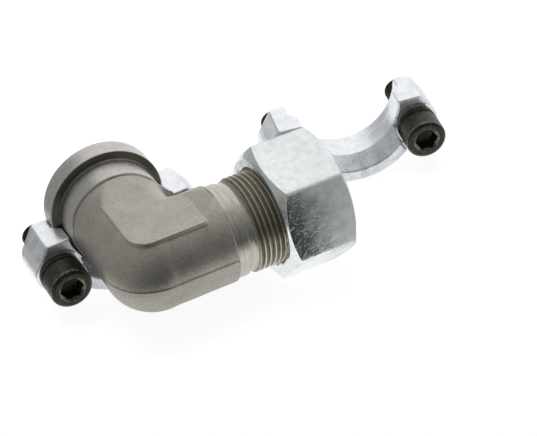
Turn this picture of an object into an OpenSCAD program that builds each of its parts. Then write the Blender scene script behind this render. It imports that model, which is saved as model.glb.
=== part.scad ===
// Right-angle flange elbow for a high-pressure pipe: a forged body with a flange head at one
// end and a coned, threaded tube end at the other, laid out with its union nut, cutting ring,
// face seal, two clamp halves, four socket screws and four spring washers.
// Millimetres. The origin is the middle of the flange's sealing face, +Y points out of the
// flange along its bore, +X is the side that the tube arm leaves to, and +Z is up.

/* [Flange end] */
// Diameter of the flange head
head_d = 44.45; // [43:0.05:46]
// Thickness of the flange head
head_t = 8; // [7:0.1:9]
// Diameter of the machined neck behind the head
neck_d = 38; // [37.2:0.1:38.8]
// Length of the machined neck, from the forging to the head
neck_l = 10.9; // [8.5:0.1:12]
// Radius of the fillet between the neck and the head
neck_fillet = 1.4; // [0.6:0.1:1.8]
// Room between a seated screw's head and the tube arm's flank
arm_room = 0.63; // [0.4:0.01:6]
// Diameter of the flow bore in the flange arm
port_d = 24; // [20:0.5:25]
// Outside diameter of the seal groove in the face
groove_d = 39.7; // [38.6:0.1:40.2]
// Width of the seal groove
groove_w = 4.6; // [4.2:0.1:5]
// Depth of the seal groove
groove_depth = 2.8; // [2.5:0.1:3]
// Section diameter of the face seal ring
seal_section = 3.5; // [3.2:0.1:3.8]

/* [Forged bend] */
// Diameter of the forged arms
forged_d = 36.6; // [36.2:0.1:37.2]
// Height of the flat lands above and below the middle plane
land_h = 16; // [15.4:0.1:17]
// Where the lands end on the tube arm, from the corner
land_tube_end = 19; // [16:0.5:22]
// Where the lands end on the flange arm, from the corner
land_flange_end = 18; // [14:0.5:21]
// Radius of the inner corner between the arms
crotch_r = 4.5; // [3:0.5:7]
// Length of the forged part of the tube arm, from the corner
tube_forged_l = 25.8; // [24:0.1:32]

/* [Tube end] */
// Diameter of the turned collar
collar_d = 35; // [34:0.1:35.6]
// Length of the turned collar
collar_l = 5.1; // [4:0.1:8]
// Diameter of the relief behind the thread
relief_d = 33.2; // [32.4:0.1:33.8]
// Length of the relief behind the thread
relief_l = 2.2; // [1.6:0.1:4]
// Nominal diameter of the tube thread
thread_d = 36; // [35:0.5:37]
// Length of the tube thread
thread_l = 21.3; // [19:0.1:25]
// Outside diameter of the tube that the fitting takes
tube_d = 25; // [24:0.5:25.5]
// Diameter of the flow bore in the tube arm
tube_bore_d = 20; // [16:0.5:21]
// Depth of the tube stop below the mouth
tube_stop = 12; // [10:0.5:14]
// How much wider the coned mouth is than the tube
mouth_flare = 2.9; // [2.5:0.1:3.3]

/* [Union nut] */
// Width of the nut across its flats
nut_af = 46; // [44:1:50]
// Length of the nut
nut_l = 27; // [24:0.5:30]
// Length of the tube hole at the nut's closed end
nut_floor = 9; // [7:0.5:11]
// Angle of the nut's first corner, from the flange's direction towards up
nut_angle = 12.5; // [5:0.5:20]
// Angle of the chamfers on the nut's ends
nut_chamfer = 30; // [20:1:35]

/* [Cutting ring] */
// Length of the cutting ring
ring_l = 10; // [9:0.1:11]
// Greatest thickness of the cutting ring
ring_wall = 2.7; // [2.3:0.1:3]
// How far the ring stands inside the coned mouth
ring_in = 3.5; // [2.5:0.1:4]

/* [Clamp halves] */
// Outside radius of a clamp half, which is also the height of the flange axis above the table
clamp_r = 28.9; // [28:0.1:31]
// Thickness of the clamp's ears
ear_t = 16.8; // [15:0.1:17]
// Radius of the ear around each screw
ear_r = 9.1; // [8.6:0.1:10]
// Half the width of the split face, from the middle to the ear's outer edge
ear_reach = 28.8; // [27.5:0.1:30]
// Height of the hub behind the ears
hub_h = 6.5; // [4:0.5:8]
// Radius of the flared throat at the hub's face
throat_r = 23.3; // [22:0.1:25]
// Long distance between the screws
screw_pitch_long = 52.4; // [51.6:0.1:54]
// Short distance between the screws, across the split
screw_pitch_short = 26.2; // [25.4:0.1:27.6]
// Gap between the two halves when they are fitted
split_gap = 1; // [0.4:0.1:1.6]
// How far the head stands out of its recess
head_proud = 0.4; // [0.2:0.1:0.8]

/* [Screws and washers] */
// Nominal diameter of the screws
screw_d = 10; // [9:0.5:10.5]
// Length of the screws under the head
screw_l = 30; // [27:1:40]
// Diameter of the screw heads
screw_head_d = 16; // [15:0.5:17]
// Height of the screw heads
screw_head_h = 10; // [9:0.5:11]
// Width of the hexagon socket
socket_af = 8; // [7:0.5:9]
// Depth of the hexagon socket
socket_depth = 5; // [4:0.5:6]
// Thickness of the spring washers
washer_t = 2.2; // [1.8:0.1:2.4]
// Outside diameter of the spring washers
washer_d = 16; // [15:0.5:16.6]
// Width of the slit in the spring washers
washer_slit = 1.6; // [1:0.1:2.2]

/* [Layout] */
// Distance from the nut's end to the middle of the loose half
loose_along = 30.2; // [30:0.2:60]
// Distance from the nut's corners to the loose half's rear face, along the flange's direction
loose_behind = 5.8; // [5.6:0.2:20]
// Turn of the loose half on the table
loose_turn = -14; // [-15:0.5:-13.5]

/* [Hidden] */
$fn = 96;

// Play between pieces that slide or turn on each other
running_gap = 0.05;
// Play between the cones, the ring and the nut before they are pulled tight
cone_gap = 0.15;
// Play of the neck and the head in a clamp half
neck_play = 0.4;
head_play = 0.2;
// Half the angle of the coned mouth
cone_half_angle = 12;
// Small bevels on turned and forged edges
bevel = 0.5;
// A cut runs this far past the face that it opens
past = 1;
// Straight flanks run this far into the rounds that they touch
lap = 0.02;
// The corner's ball stands this much above the arms, as a forging does
ball_swell = 0.15;
// The inner corner's bend is this much thinner than the arms, which it merges into
bend_shrink = 0.3;

neck_r = neck_d / 2;
head_r = head_d / 2;
forged_r = forged_d / 2;

// The screw heads behind the flange pass the tube arm, which sets the length of the flange arm
head_top_edge = (screw_pitch_short - screw_head_d) / 2;
arm_flank = sqrt(pow(forged_r, 2) - pow(head_top_edge, 2));
screw_stack = head_proud + ear_t + washer_t + screw_head_h;
flange_arm = screw_stack + arm_room + arm_flank;
shoulder = flange_arm - head_t;
neck_start = shoulder - neck_l;
collar_end = tube_forged_l + collar_l;
thread_start = collar_end + relief_l;
mouth = thread_start + thread_l;
thread_r = thread_d / 2 - 0.1;
tube_hole_r = tube_d / 2 + running_gap;
cone_slope = tan(cone_half_angle);
mouth_r = (tube_d + mouth_flare) / 2;
cone_depth = (mouth_r - tube_hole_r) / cone_slope;

// The ring lies in the coned mouth, and the nut's closed end lies on the ring
ring_start = mouth - ring_in;
ring_end = ring_start + ring_l;
ring_r = tube_d / 2 + ring_wall;
ring_tail_r = tube_hole_r + 0.5;
ring_shoulder_end = ring_end - (ring_r - ring_tail_r);
nut_hole_r = tube_hole_r + 0.2;
nut_seat_end = ring_end + (ring_tail_r - nut_hole_r) + sqrt(2) * cone_gap;
nut_end = nut_seat_end + nut_floor;
nut_start = nut_end - nut_l;
nut_seat_r = ring_r + 1;
nut_seat_start = nut_seat_end - (nut_seat_r - nut_hole_r);
nut_bore_r = thread_d / 2 + running_gap;
nut_corner_r = nut_af / sqrt(3);
nut_face_r = 0.475 * nut_af;
nut_bevel_l = (nut_corner_r - nut_face_r) * tan(nut_chamfer);

// The tube arm leans down until the nut's lowest corner lies on the table
low_corner_turn = nut_angle + 240 - 270;
low_corner_r = nut_corner_r * cos(low_corner_turn);
low_corner_x = nut_end - nut_bevel_l;
lean = asin(clamp_r / norm([low_corner_x, low_corner_r])) - atan2(low_corner_r, low_corner_x);

// Clamp half, in its own frame: the pipe's axis is Y, the ears' rear face is at y = 0
screw_x = screw_pitch_long / 2;
screw_z = screw_pitch_short / 2;
clamp_bore_r = neck_r + neck_play;
recess_r = head_r + head_play;
recess_start = ear_t - (head_t - head_proud);
recess_bevel = neck_fillet + 0.2;
screw_hole_r = screw_d / 2 + 0.5;
spot_r = screw_head_d / 2 + 1.2;
hub_r = clamp_r - 0.3;
hub_draft = 0.6;
hub_from = 34;
throat_slope = (throat_r - clamp_bore_r) / (hub_h + bevel);
seated_y = -head_proud - ear_t;
loose_x = nut_end * cos(lean) + loose_along;
loose_y = -flange_arm + nut_corner_r + loose_behind;

forging_colour = "#8a867e";
zinc_colour = "#d5dadd";
plated_nut_colour = "#c3cccd";
black_oxide_colour = "#2c2d28";
rubber_colour = "#1d1d1d";
ring_colour = "#9c978a";

// Turns a shape that stands along Z so that it lies along Y, with its own Y pointing down
module along_y() rotate([-90, 0, 0]) children();

// Turns a shape that stands along Z so that it lies along X
module along_x() rotate([0, 90, 0]) children();

// Places a piece of the elbow: the corner of its axes is the origin, and the tube arm leans
module on_elbow() translate([0, -flange_arm, 0]) rotate([0, lean, 0]) children();

// Places a piece that belongs to the half that holds the flange head
module on_seated_half() translate([0, seated_y, 0]) children();

// Places a piece that belongs to the half that stands apart
module on_loose_half() translate([loose_x, loose_y, 0]) rotate([0, 0, loose_turn]) children();

// A concave quarter round of radius r at [x, y], as points of an outline
function cove(x, y, r, steps = 8) =
    [for (i = [0 : steps]) [x + r - r * sin(90 * i / steps), y - r + r * (1 - cos(90 * i / steps))]];

// Flange arm as one turned shape: forging, machined neck, fillet and flange head
module flange_arm_solid() {
    along_y() rotate_extrude() polygon(concat(
        [[0, 0], [forged_r, 0], [forged_r, neck_start - bevel / 2], [neck_r, neck_start]],
        [for (i = [0 : 8]) [neck_r + neck_fillet * (1 - cos(11.25 * i)),
                            shoulder - neck_fillet * (1 - sin(11.25 * i))]],
        [[head_r - bevel / 2, shoulder], [head_r, shoulder + bevel / 2],
         [head_r, flange_arm - bevel], [head_r - bevel, flange_arm], [0, flange_arm]]
    ));
}

// Tube arm as one turned shape: forging, collar, relief and the body of the thread
module tube_arm_solid() {
    along_x() rotate_extrude() polygon([
        [0, 0], [forged_r, 0], [forged_r, tube_forged_l - bevel], [collar_d / 2, tube_forged_l],
        [collar_d / 2, collar_end - bevel], [relief_d / 2, collar_end],
        [relief_d / 2, thread_start], [thread_r, thread_start + thread_r - relief_d / 2],
        [thread_r, mouth - 2 * bevel], [thread_r - 2 * bevel, mouth], [0, mouth]
    ]);
}

// Rounds the inner corner: a quarter bend a little thinner than the arms
module crotch() {
    bend_r = forged_r - bend_shrink;
    sweep_r = bend_r + crotch_r;
    translate([sweep_r, sweep_r, 0])
        rotate([0, 0, 180]) rotate_extrude(angle = 90) translate([sweep_r, 0]) circle(bend_r);
}

// What the die leaves off above the middle plane: a flat land with ends that slope up
module land_cut() {
    rise = forged_r + ball_swell - land_h + past;
    far = forged_r + ball_swell + past;
    intersection() {
        translate([0, -far, 0]) rotate([90, 0, 180]) mirror([1, 0, 0]) linear_extrude(3 * far)
            polygon([[-far, land_h], [land_tube_end, land_h],
                     [land_tube_end + rise, land_h + rise], [-far, land_h + rise]]);
        translate([-far, 0, 0]) rotate([90, 0, 90]) linear_extrude(3 * far)
            polygon([[-far, land_h], [land_flange_end, land_h],
                     [land_flange_end + rise, land_h + rise], [-far, land_h + rise]]);
    }
}

// Flow bores that meet at the corner, each with the point of its drill
module flow_bores() {
    drill_point = tan(31);
    along_y() rotate_extrude() polygon([
        [0, -tube_bore_d / 3 - port_d / 2 * drill_point], [port_d / 2, -tube_bore_d / 3],
        [port_d / 2, flange_arm + past], [0, flange_arm + past]
    ]);
    along_x() rotate_extrude() polygon([
        [0, 0], [tube_bore_d / 2, 0], [tube_bore_d / 2, mouth - tube_stop],
        [tube_hole_r, mouth - tube_stop], [tube_hole_r, mouth - cone_depth],
        [mouth_r, mouth], [mouth_r, mouth + past], [0, mouth + past]
    ]);
}

// Groove for the face seal
module seal_groove() {
    along_y() translate([0, 0, flange_arm - groove_depth]) difference() {
        cylinder(d = groove_d, h = groove_depth + past);
        translate([0, 0, -past]) cylinder(r = groove_d / 2 - groove_w, h = groove_depth + 3 * past);
    }
}

// Forged and machined elbow body, one piece of steel
module elbow_body() {
    color(forging_colour) on_elbow() difference() {
        union() {
            flange_arm_solid();
            tube_arm_solid();
            sphere(r = forged_r + ball_swell);
            crotch();
        }
        land_cut();
        mirror([0, 0, 1]) land_cut();
        flow_bores();
        seal_groove();
    }
}

// Rubber ring that lies in the groove and stands a little proud of the face
module face_seal_ring() {
    ring_path_r = groove_d / 2 - seal_section / 2 - running_gap;
    color(rubber_colour) on_elbow() along_y()
        translate([0, 0, flange_arm - groove_depth + seal_section / 2 + running_gap / 2])
            rotate_extrude() translate([ring_path_r, 0]) circle(d = seal_section);
}

// Hexagon nut with chamfered ends, a threaded bore and a seat for the cutting ring
module union_nut() {
    color(plated_nut_colour) on_elbow() along_x() difference() {
        intersection() {
            translate([0, 0, nut_start]) rotate([0, 0, nut_angle + 90])
                cylinder(r = nut_corner_r, h = nut_l, $fn = 6);
            rotate_extrude() polygon([
                [0, nut_start], [nut_face_r, nut_start],
                [nut_corner_r + past, nut_start + nut_bevel_l + past * tan(nut_chamfer)],
                [nut_corner_r + past, nut_end - nut_bevel_l - past * tan(nut_chamfer)],
                [nut_face_r, nut_end], [0, nut_end]
            ]);
        }
        rotate_extrude() polygon([
            [0, nut_start - past], [nut_bore_r + 1.4, nut_start - past],
            [nut_bore_r + 1.4, nut_start], [nut_bore_r, nut_start + 1.4],
            [nut_bore_r, nut_seat_start], [nut_seat_r, nut_seat_start],
            [nut_hole_r, nut_seat_end], [nut_hole_r, nut_end - bevel],
            [nut_hole_r + bevel, nut_end], [nut_hole_r + bevel, nut_end + past], [0, nut_end + past]
        ]);
    }
}

// Cutting ring: a coned front that enters the mouth, and a shoulder that the nut pushes
module cutting_ring() {
    front_r = mouth_r - ring_in * cone_slope - cone_gap;
    neck_end = mouth + 1.1;
    neck_end_r = front_r + (neck_end - ring_start) * cone_slope;
    color(ring_colour) on_elbow() along_x() rotate_extrude() polygon([
        [tube_hole_r, ring_start], [front_r, ring_start], [neck_end_r, neck_end],
        [ring_r, neck_end + ring_r - neck_end_r], [ring_r, ring_shoulder_end],
        [ring_tail_r, ring_end], [tube_hole_r, ring_end]
    ]);
}

// Outer tangent of two circles as a four-sided patch, so that a plate can run between them
module belt(c1, r1, c2, r2) {
    d = c2 - c1;
    swing = acos((r1 - r2) / norm(d));
    aim = atan2(d[1], d[0]);
    out = [cos(aim + swing), sin(aim + swing)];
    polygon([c1, c2, c2 + (r2 - lap) * out, c1 + (r1 - lap) * out]);
}

// Outline of one ear: the round around the screw, its flank and its run into the ring
module ear_outline() {
    screw = [screw_x, screw_z];
    corner = [ear_reach, split_gap / 2];
    reach = corner - screw;
    touch_angle = atan2(reach[1], reach[0]) + acos(ear_r / norm(reach));
    touch = screw + (ear_r - lap) * [cos(touch_angle), sin(touch_angle)];
    translate(screw) circle(ear_r);
    polygon([[0, split_gap / 2], corner, touch, screw]);
    belt([0, 0], clamp_r, screw, ear_r);
}

// Outline of a clamp half seen along the pipe, with depth below the pipe's axis as Y
module half_outline() {
    intersection() {
        union() {
            circle(clamp_r);
            ear_outline();
            mirror([1, 0, 0]) ear_outline();
        }
        translate([-2 * clamp_r, split_gap / 2]) square([4 * clamp_r, 2 * clamp_r]);
    }
}

// One clamp half: ears, hub behind them, machined bore, recess for the head and screw holes
module clamp_half() {
    color(zinc_colour) along_y() difference() {
        union() {
            linear_extrude(ear_t) half_outline();
            rotate([0, 0, hub_from]) rotate_extrude(angle = 180 - 2 * hub_from) polygon([
                [clamp_bore_r - past, past], [clamp_bore_r - past, -hub_h],
                [hub_r - hub_draft - bevel, -hub_h], [hub_r - hub_draft, bevel - hub_h],
                [hub_r, 0], [hub_r - past, past]
            ]);
        }
        rotate_extrude() polygon([
            [0, -hub_h - past], [throat_r + throat_slope * past, -hub_h - past],
            [clamp_bore_r, bevel], [clamp_bore_r, recess_start - recess_bevel],
            [clamp_bore_r + recess_bevel, recess_start], [recess_r, recess_start],
            [recess_r, ear_t - bevel], [recess_r + bevel, ear_t], [recess_r + bevel, ear_t + past],
            [0, ear_t + past]
        ]);
        for (side = [-1, 1]) translate([side * screw_x, screw_z, 0]) {
            translate([0, 0, -past]) cylinder(r = screw_hole_r, h = ear_t + 2 * past);
            translate([0, 0, -hub_h - past]) cylinder(r = spot_r, h = hub_h + past);
        }
    }
}

// Socket-head screw, with its head's seat at y = -washer_t and its point towards the flange
module screw(side) {
    head_bevel = 0.08 * screw_head_d / 2;
    shank_r = screw_d / 2 - running_gap;
    color(black_oxide_colour) translate([side * screw_x, 0, -screw_z]) along_y() difference() {
        rotate_extrude() polygon([
            [0, -washer_t - screw_head_h], [screw_head_d / 2 - head_bevel, -washer_t - screw_head_h],
            [screw_head_d / 2, head_bevel - washer_t - screw_head_h],
            [screw_head_d / 2, -washer_t - bevel / 2], [screw_head_d / 2 - bevel / 2, -washer_t],
            [shank_r, -washer_t], [shank_r, screw_l - washer_t - 1],
            [shank_r - 1, screw_l - washer_t], [0, screw_l - washer_t]
        ]);
        translate([0, 0, -washer_t - screw_head_h - past]) rotate([0, 0, 30])
            cylinder(r = socket_af / sqrt(3), h = socket_depth + past, $fn = 6);
    }
}

// Spring lock washer: a square-section ring with a slanting slit
module spring_washer(side) {
    color(black_oxide_colour) translate([side * screw_x, 0, -screw_z]) along_y() difference() {
        translate([0, 0, -washer_t]) cylinder(d = washer_d, h = washer_t);
        translate([0, 0, -washer_t - past]) cylinder(r = screw_d / 2 + 0.15, h = washer_t + 2 * past);
        rotate([0, 0, -70]) translate([washer_d / 2, 0, -washer_t / 2]) rotate([25, 0, 0])
            cube([washer_d, washer_slit, 3 * washer_t], center = true);
    }
}

elbow_body();
face_seal_ring();
union_nut();
cutting_ring();
on_seated_half() clamp_half();  // seated_clamp_half
on_loose_half() clamp_half();  // loose_clamp_half
on_seated_half() screw(-1);  // seated_screw_left
on_seated_half() screw(1);  // seated_screw_right
on_loose_half() screw(-1);  // loose_screw_left
on_loose_half() screw(1);  // loose_screw_right
on_seated_half() spring_washer(-1);  // seated_washer_left
on_seated_half() spring_washer(1);  // seated_washer_right
on_loose_half() spring_washer(-1);  // loose_washer_left
on_loose_half() spring_washer(1);  // loose_washer_right
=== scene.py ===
"""Looks of a right-angle flange elbow kit, piece by piece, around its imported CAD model."""

from math import asin, atan2, cos, hypot, pi, radians, sin, sqrt, tan

import bpy
import numpy as np
from mathutils import Matrix


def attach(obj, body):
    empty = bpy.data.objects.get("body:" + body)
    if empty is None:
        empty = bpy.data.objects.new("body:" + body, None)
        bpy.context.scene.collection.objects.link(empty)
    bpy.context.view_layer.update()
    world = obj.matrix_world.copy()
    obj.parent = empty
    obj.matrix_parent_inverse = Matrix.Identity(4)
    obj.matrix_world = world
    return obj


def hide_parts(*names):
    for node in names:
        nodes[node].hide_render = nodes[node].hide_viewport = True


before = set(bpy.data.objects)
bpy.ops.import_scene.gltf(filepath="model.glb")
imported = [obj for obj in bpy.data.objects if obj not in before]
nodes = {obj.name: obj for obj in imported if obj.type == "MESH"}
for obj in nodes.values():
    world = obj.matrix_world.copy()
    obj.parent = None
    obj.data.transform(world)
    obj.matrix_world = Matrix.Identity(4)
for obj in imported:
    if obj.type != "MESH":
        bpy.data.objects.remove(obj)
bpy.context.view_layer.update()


# Elbow body: a right-angle bend drop-forged in steel between two dies, then turned at both ends
# and drilled from both ends. The forged skin is blasted and zinc-phosphated, the turned places
# are phosphated bare steel. A clamp pulls its flange head onto a pad, and the nut closes the other end.
HEAD_R, HEAD_T, NECK_R, NECK_L, NECK_FILLET = 22.225, 8.0, 19.0, 10.9, 1.4
FLANGE_ARM = 47.605
PORT_R, GROOVE_R, GROOVE_W, GROOVE_DEPTH = 12.0, 19.85, 4.6, 2.8
FORGED_R, BALL_R, CROTCH_TUBE_R, CROTCH_SWEEP_R = 18.3, 18.45, 16.7, 22.5
LAND_H, LAND_TUBE_END, LAND_FLANGE_END, LAND_FRONT, LAND_SIDE, LAND_CORNER = 16.0, 18.2, 17.6, 11.1, 9.4, 7.5
FORGED_END, COLLAR_R, COLLAR_END, RELIEF_R, THREAD_START = 25.8, 17.5, 30.9, 16.6, 33.1
THREAD_R, MOUTH, PITCH = 17.9, 54.4, 2.0
TUBE_BORE_R, SOCKET_R, MOUTH_R, TUBE_STOP, CONE_DEPTH = 10.0, 12.55, 13.95, 12.0, 6.586
NUT_AF, NUT_START, NUT_END, NUT_CORNER_TURN, NUT_CHAMFER = 46.0, 43.412, 70.412, 12.5, 30.0
TABLE = -28.9
COLUMNS = 220


def arm_lean():
    """How far the tube arm leans down, so that the nut's lowest corner lies on the table: the angle at
    which a point this far out and this far below the axis comes down to the table's height."""
    corner_r = NUT_AF / sqrt(3)
    out = NUT_END - (corner_r - 0.475 * NUT_AF) * tan(radians(NUT_CHAMFER))
    below = corner_r * cos(radians(NUT_CORNER_TURN - 30))
    return asin(-TABLE / hypot(out, below)) - atan2(below, out)


LEAN = arm_lean()


def from_elbow(points):
    """Elbow frame to row frame, in millimetres: the corner of the two axes goes to the flange arm's
    length behind the face, and everything turns down about it by the lean."""
    x, y, z = points[..., 0], points[..., 1], points[..., 2]
    return np.stack([cos(LEAN) * x + sin(LEAN) * z, y - FLANGE_ARM, cos(LEAN) * z - sin(LEAN) * x], -1)


def soft_rows(corners, arc=5, hold=0.12):
    """An outline's corners as rows of points. Each corner is (along, out, softness): it becomes a parabola
    that leaves both its sides at the softness's distance, with one more row on each side just outside
    it, so that the flats between corners shade flat. The outline may differ from column to column."""
    corners = np.asarray(corners, float)
    place, soft = corners[..., :2], corners[..., 2:]
    side = np.diff(place, axis=0)
    length = np.maximum(np.linalg.norm(side, axis=-1, keepdims=True), 1e-9)
    unit = side / length
    soft = soft[1:-1]
    before, after = unit[:-1], unit[1:]
    room = np.minimum(hold, 0.2 * np.minimum(length[:-1], length[1:]))
    corner = place[1:-1]
    leave, enter = corner - soft * before, corner + soft * after
    t = np.linspace(0, 1, arc).reshape((1, arc) + (1,) * (corner.ndim - 1))
    curve = (1 - t) ** 2 * leave[:, None] + 2 * t * (1 - t) * corner[:, None] + t * t * enter[:, None]
    rows = np.concatenate([(leave - room * before)[:, None], curve, (enter + room * after)[:, None]], 1)
    return np.concatenate([place[:1], rows.reshape((-1,) + corner.shape[1:]), place[-1:]])


def thread_radius(along, turn, start, pitch, crest_r, depth, crest_share=0.125):
    """Radius of a 60 degree screw thread: the distance to the nearest crest line, which climbs one
    pitch a turn, sets the depth through a slope of root three, held between the crest and the root."""
    phase = (along - start) / pitch - turn / (2 * pi)
    off_crest = np.abs(phase - np.round(phase)) * pitch
    return crest_r - np.clip(sqrt(3) * (off_crest - crest_share * pitch / 2), 0, depth)


def grid_faces(rows, columns):
    """Four-sided faces between neighbouring rows and columns of a grid that closes on itself both ways."""
    r, c = np.arange(rows)[:, None], np.arange(columns)[None]
    n, m = (r + 1) % rows, (c + 1) % columns
    return np.stack([r * columns + c, r * columns + m, n * columns + m, n * columns + c], -1).reshape(-1, 4)


def make_piece(name, points, faces, finishes, body, replaced, finish_of=None, normals=None):
    """Puts a closed surface into a Blender object. Points are in millimetres in the row frame. Points in
    one place become one, faces that lost a side become triangles, and all are turned so that the volume
    they enclose is positive. finish_of says which of the finishes each face takes."""
    points = np.asarray(points, float).reshape(-1, 3)
    finish_of = np.zeros(len(faces), int) if finish_of is None else np.asarray(finish_of)
    _, first, same = np.unique(np.round(points, 5), axis=0, return_index=True, return_inverse=True)
    points, faces = points[first], same.reshape(-1)[faces]
    if faces.shape[1] == 4:
        lost = faces == np.roll(faces, -1, 1)
        kept = lost.sum(1) < 2
        faces, lost, finish_of = faces[kept], lost[kept], finish_of[kept]
        order = np.argsort(lost, axis=1, kind="stable")
        faces = np.take_along_axis(faces, order, 1)
        sides = 4 - lost.sum(1)
    else:
        sides = np.full(len(faces), 3)
    a, b, c, d = (points[faces[:, i]] for i in (0, 1, 2, -1))
    d = np.where((sides == 4)[:, None], d, c)
    volume = (np.einsum("ij,ij->i", a, np.cross(b, c)) + np.einsum("ij,ij->i", a, np.cross(c, d))).sum()
    corner_used = np.arange(faces.shape[1])[None] < sides[:, None]
    if volume < 0:
        faces = np.where((sides == 4)[:, None], faces[:, ::-1], np.roll(faces[:, ::-1], -1, 1)) \
            if faces.shape[1] == 4 else faces[:, ::-1]
    corners = faces[corner_used]
    mesh = bpy.data.meshes.new(name)
    mesh.vertices.add(len(points))
    mesh.vertices.foreach_set("co", (points * 0.001).astype(np.float32).ravel())
    mesh.loops.add(len(corners))
    mesh.loops.foreach_set("vertex_index", corners.astype(np.int32))
    mesh.polygons.add(len(faces))
    mesh.polygons.foreach_set("loop_start", (np.cumsum(sides) - sides).astype(np.int32))
    mesh.polygons.foreach_set("material_index", finish_of.astype(np.int32))
    mesh.update(calc_edges=True)
    mesh.validate()
    mesh.shade_smooth()
    if normals is not None:
        mesh.normals_split_custom_set_from_vertices(np.asarray(normals).reshape(-1, 3)[first])
    for finish in finishes:
        mesh.materials.append(finish)
    piece = bpy.data.objects.new(name, mesh)
    bpy.context.scene.collection.objects.link(piece)
    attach(piece, body)
    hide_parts(*replaced)
    return piece


def smooth_least(a, b, reach):
    """The lesser of two distances, blended over the reach where they are nearly equal."""
    return np.minimum(a, b) - np.maximum(reach - np.abs(a - b), 0) ** 2 / (4 * reach)


def smooth_most(a, b, reach):
    """The greater of two distances, blended over the reach where they are nearly equal."""
    return -smooth_least(-a, -b, reach)


def forging_distance(p):
    """Distance to the forged skin: two round arms and the ball at their corner, blended with the bend
    of the inner corner, then cut off by the flat lands, whose ends run out on gentle slopes. On the
    outside of the bend the upper land is a pad with a rounded corner, a little proud of the rounds below
    it. A low ridge where the dies met stands on the middle plane, and slow waves make it a forging."""
    x, y, z = p[..., 0], p[..., 1], p[..., 2]
    flange_arm = np.where(y > 0, np.hypot(x, z), 1e3) - FORGED_R
    tube_arm = np.where(x > 0, np.hypot(y, z), 1e3) - FORGED_R
    ball = np.sqrt(x * x + y * y + z * z) - BALL_R
    sweep = np.hypot(x - CROTCH_SWEEP_R, y - CROTCH_SWEEP_R) - CROTCH_SWEEP_R
    crotch = np.hypot(sweep, z) - CROTCH_TUBE_R
    skin = smooth_least(np.minimum(np.minimum(flange_arm, tube_arm), ball), crotch, 1.0)
    run_out = np.maximum(smooth_most(0.3 * (x - LAND_TUBE_END), 0.22 * (y - LAND_FLANGE_END), 0.6), 0)
    skin = smooth_most(skin, np.abs(z) - LAND_H - run_out, 0.3)
    past_side, past_front = LAND_CORNER - LAND_SIDE - x, LAND_CORNER - LAND_FRONT - y
    outline = np.hypot(np.maximum(past_side, 0), np.maximum(past_front, 0)) \
        + np.minimum(np.maximum(past_side, past_front), 0) - LAND_CORNER
    outline = np.maximum(outline, np.maximum(x - LAND_TUBE_END, y - LAND_FLANGE_END))
    pad = smooth_most(np.maximum(outline, np.minimum(x, y) - 6), np.maximum(z - LAND_H, -z), 0.35)
    skin = smooth_least(skin, pad, 0.5)
    ridge = 0.16 * np.exp(-(z / 0.45) ** 2)
    waves = 0.05 * np.sin(x * 0.41 + 1.3) * np.sin(y * 0.37 + 0.4) * np.sin(z * 0.33 + 2.1)
    return skin - ridge - waves


def cavity_distance(p):
    """Distance into the flow bores: the port's drilling with its pointed end, and the tube's."""
    x, y, z = p[..., 0], p[..., 1], p[..., 2]
    port_out = np.hypot(x, z)
    port_end = -y - 2 * TUBE_BORE_R / 3 - np.maximum(PORT_R - port_out, 0) * tan(radians(31))
    port = np.maximum(port_out - PORT_R, port_end)
    tube = np.maximum(np.hypot(y, z) - TUBE_BORE_R, -x)
    return np.minimum(port, tube)


FAN = 22.8
LAND_EDGE = asin(LAND_H / FORGED_R)
PAD_EDGE = atan2(LAND_H - 0.6, LAND_FRONT)


def columns_around(count):
    """Angles round the bent centre line, from the outside of the bend over the top. They stand closer
    where the lands' edges and the dies' parting line run, because each angle takes its place from the
    running sum of a density with a bell over each of those lines."""
    even = np.linspace(0, 2 * pi, 20001)
    density = np.ones_like(even)
    for line in (0, PAD_EDGE, pi - LAND_EDGE, pi, pi + LAND_EDGE, 2 * pi - LAND_EDGE, 2 * pi):
        density += 2.4 * np.exp(-((even - line) / 0.09) ** 2)
    running = np.concatenate([[0], np.cumsum((density[1:] + density[:-1]) / 2)])
    return np.interp(np.arange(count) / count * running[-1], running, even)


around = columns_around(COLUMNS)


def fan_rows(distance, count):
    """The bend as half-planes that fan about a line beside the inner corner. In each half-plane rays leave
    the bent centre line in all directions, and bisection finds where each meets the surface."""
    fan = np.linspace(0, pi / 2, count)[:, None]
    outward = np.stack([-np.cos(fan), -np.sin(fan), 0 * fan], -1)
    off_fan = FAN / np.maximum(np.cos(fan), np.sin(fan))
    centre = FAN + outward * off_fan[..., None]
    centre[..., 2] = 0
    ray = np.cos(around)[None, :, None] * outward + np.sin(around)[None, :, None] * np.array([0, 0, 1.0])
    low, high = np.zeros(ray.shape[:2]), np.minimum(31, off_fan / np.maximum(-np.cos(around), 1e-3))
    for _ in range(30):
        middle = (low + high) / 2
        out = distance(centre + ray * middle[..., None]) > 0
        low, high = np.where(out, low, middle), np.where(out, middle, high)
    return centre + ray * low[..., None]


def flange_arm_rows(rows):
    """Rows (along, out) turned about the flange arm's axis, which is Y."""
    along, out = rows[..., 0], rows[..., 1]
    return np.stack([-out * np.cos(around), along + 0 * around, out * np.sin(around)], -1)


def tube_arm_rows(rows):
    """Rows (along, out) turned about the tube arm's axis, which is X."""
    along, out = rows[..., 0], rows[..., 1]
    return np.stack([along + 0 * around, -out * np.cos(around), out * np.sin(around)], -1)


def turned(corners):
    """A turned outline's rows, the same at every angle, so with room for the columns."""
    return soft_rows(corners)[:, None, :]


def straight_forging(at, rows):
    """Rows of the forged skin across a straight arm, at these distances from the corner."""
    start = np.zeros((len(at), COLUMNS))
    low, high = start, start + FAN - 0.5
    for _ in range(30):
        middle = (low + high) / 2
        out = forging_distance(rows(np.stack([at[:, None] + 0 * middle, middle], -1))) > 0
        low, high = np.where(out, low, middle), np.where(out, middle, high)
    return rows(np.stack([at[:, None] + 0 * low, low], -1))


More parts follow.
